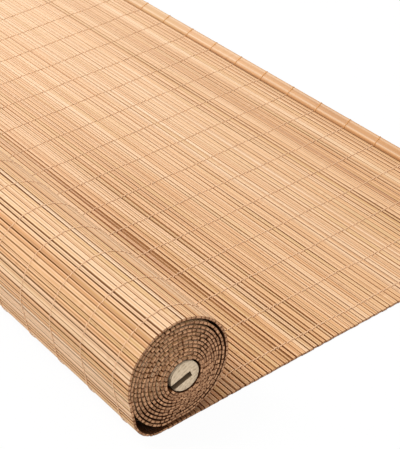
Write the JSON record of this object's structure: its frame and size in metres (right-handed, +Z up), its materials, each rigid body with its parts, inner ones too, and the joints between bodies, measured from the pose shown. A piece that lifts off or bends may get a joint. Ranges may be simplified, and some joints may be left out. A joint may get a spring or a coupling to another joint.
{
  "type": "bamboo roll blind",
  "caption": "Bamboo slat blind with one stretch laid out flat and the rest rolled round a slotted wooden rod, tied in rows with thread and edged with a wide batten.",
  "frame": {"origin": "on the floor, under the middle of the whole blind as it lies", "axes": "+X along the slats, +Y the way the blind unrolls, from the roll towards the end batten, +Z up"},
  "size_m": [0.9208, 0.3958, 0.0877],
  "materials": {
    "bamboo": "split bamboo, lightly carbonised, satin",
    "batten_bamboo": "planed bamboo, satin",
    "rod_wood": "bare softwood, matte",
    "thread": "twisted polyester or cotton, matte"
  },
  "bodies": {
    "root": {"core_rod": "rod_wood", "roll_slats": "bamboo", "flat_slats": "bamboo", "end_batten": "batten_bamboo", "warp_thread_01": "thread", "warp_thread_02": "thread", "warp_thread_03": "thread", "warp_thread_04": "thread", "warp_thread_05": "thread", "warp_thread_06": "thread", "warp_thread_07": "thread", "warp_thread_08": "thread", "warp_thread_09": "thread", "warp_thread_10": "thread", "warp_thread_11": "thread", "warp_thread_12": "thread", "warp_thread_13": "thread", "warp_thread_14": "thread", "warp_thread_15": "thread", "warp_thread_16": "thread", "warp_thread_17": "thread", "warp_thread_18": "thread", "warp_thread_19": "thread", "warp_thread_20": "thread", "warp_thread_21": "thread", "warp_thread_22": "thread", "warp_thread_23": "thread"}
  },
  "joints": []
}
